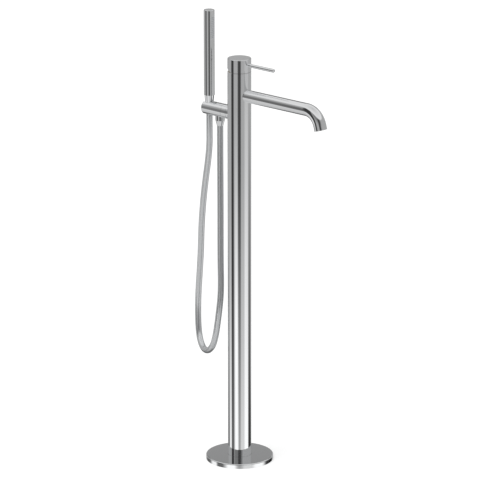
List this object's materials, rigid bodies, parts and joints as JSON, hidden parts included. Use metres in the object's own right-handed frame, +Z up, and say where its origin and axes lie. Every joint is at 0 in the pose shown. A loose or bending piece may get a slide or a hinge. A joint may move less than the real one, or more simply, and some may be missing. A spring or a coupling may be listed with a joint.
{
  "type": "floor standing bath filler",
  "caption": "Floor standing bath filler: round column with a pin-lever mixer, down-curved spout, holder arm with diverter ring, hanging hose and stick hand shower.",
  "frame": {"origin": "centre of the floor plate's underside, on the floor and on the column's axis", "axes": "+Z up along the column, +X along the spout, the holder arm along -X"},
  "size_m": [0.4117, 0.15, 1.0133],
  "materials": {
    "chrome": "polished chrome plate, as on the whole visible body",
    "inner_steel": "plain machined steel inside",
    "brass": "machined, unplated",
    "copper_tube": "drawn tube",
    "ceramic": "lapped ceramic, glossy",
    "cartridge_plastic": "moulded",
    "dark_plastic": "moulded, dark",
    "grey_plastic": "moulded, grey",
    "face_plastic": "moulded, satin silver-grey",
    "seal_rubber": "black rubber",
    "nozzle_rubber": "soft grey silicone",
    "hose_skin": "smooth silver-grey sleeve"
  },
  "bodies": {
    "stand": {"aerator_core": "grey_plastic", "aerator_housing": "grey_plastic", "anchor_plate": "inner_steel", "arm_seals": "seal_rubber", "arm_stub": "brass", "base_cover": "chrome", "cartridge_base": "cartridge_plastic", "cartridge_housing": "cartridge_plastic", "cartridge_nut": "brass", "ceramic_disc_lower": "ceramic", "check_valve": "dark_plastic", "cold_tail": "copper_tube", "cold_union": "brass", "column_foot": "brass", "column_tube": "chrome", "dome_cover": "chrome", "foot_screws": "inner_steel", "holder_arm": "chrome", "hose": "hose_skin", "hose_nut_lower": "chrome", "hose_outlet": "chrome", "hot_tail": "copper_tube", "hot_union": "brass", "inlet_seals": "seal_rubber", "lower_washer": "seal_rubber", "root_collar": "chrome", "spout_nipple": "brass", "spout_seals": "seal_rubber", "spout_tube": "chrome", "valve_body": "brass"},
    "diverter": {"diverter_ring": "chrome", "diverter_shutter": "dark_plastic"},
    "turret": {"cartridge_turret": "cartridge_plastic", "stem_pin": "inner_steel"},
    "flow_disc": {"disc_carrier": "cartridge_plastic", "ceramic_disc_upper": "ceramic"},
    "handle": {"mixing_stem": "brass", "handle_cap": "chrome", "lever": "chrome", "handle_screw": "inner_steel", "handle_plug": "dark_plastic"},
    "hose_end": {"hose_nut_upper": "chrome", "upper_washer": "seal_rubber"},
    "handset": {"handset_body": "chrome", "handset_waterway": "dark_plastic", "handset_spigot": "brass", "spray_plate": "face_plastic", "spray_nozzles": "nozzle_rubber"}
  },
  "joints": [
    {"name": "diverter_turn", "type": "hinge", "parent": "stand", "child": "diverter", "pos_m": [-0.03565, 0, 0.7937], "axis": [1, 0, 0], "range_deg": [0, 90]},
    {"name": "mixer_turn", "type": "hinge", "parent": "stand", "child": "turret", "pos_m": [0, 0, 0.8904], "axis": [0, 0, 1], "range_deg": [-50, 50]},
    {"name": "lever_lift", "type": "hinge", "parent": "turret", "child": "handle", "pos_m": [0, 0, 0.8904], "axis": [0, -1, 0], "range_deg": [0, 15]},
    {"name": "flow_disc_slide", "type": "slide", "parent": "turret", "child": "flow_disc", "axis": [1, 0, 0], "range_m": [0, 0.0035]},
    {"name": "handset_lift", "type": "slide", "parent": "stand", "child": "hose_end", "axis": [0, 0, 1], "range_m": [0, 0.06], "deforming": ["hose"]},
    {"name": "handset_spin", "type": "hinge", "parent": "hose_end", "child": "handset", "pos_m": [-0.0893, 0, 0.8], "axis": [0, 0, 1], "continuous": true}
  ],
  "couplings": [
    {"joint": "flow_disc_slide", "follows": "lever_lift", "m_per_rad": 0.01325}
  ]
}
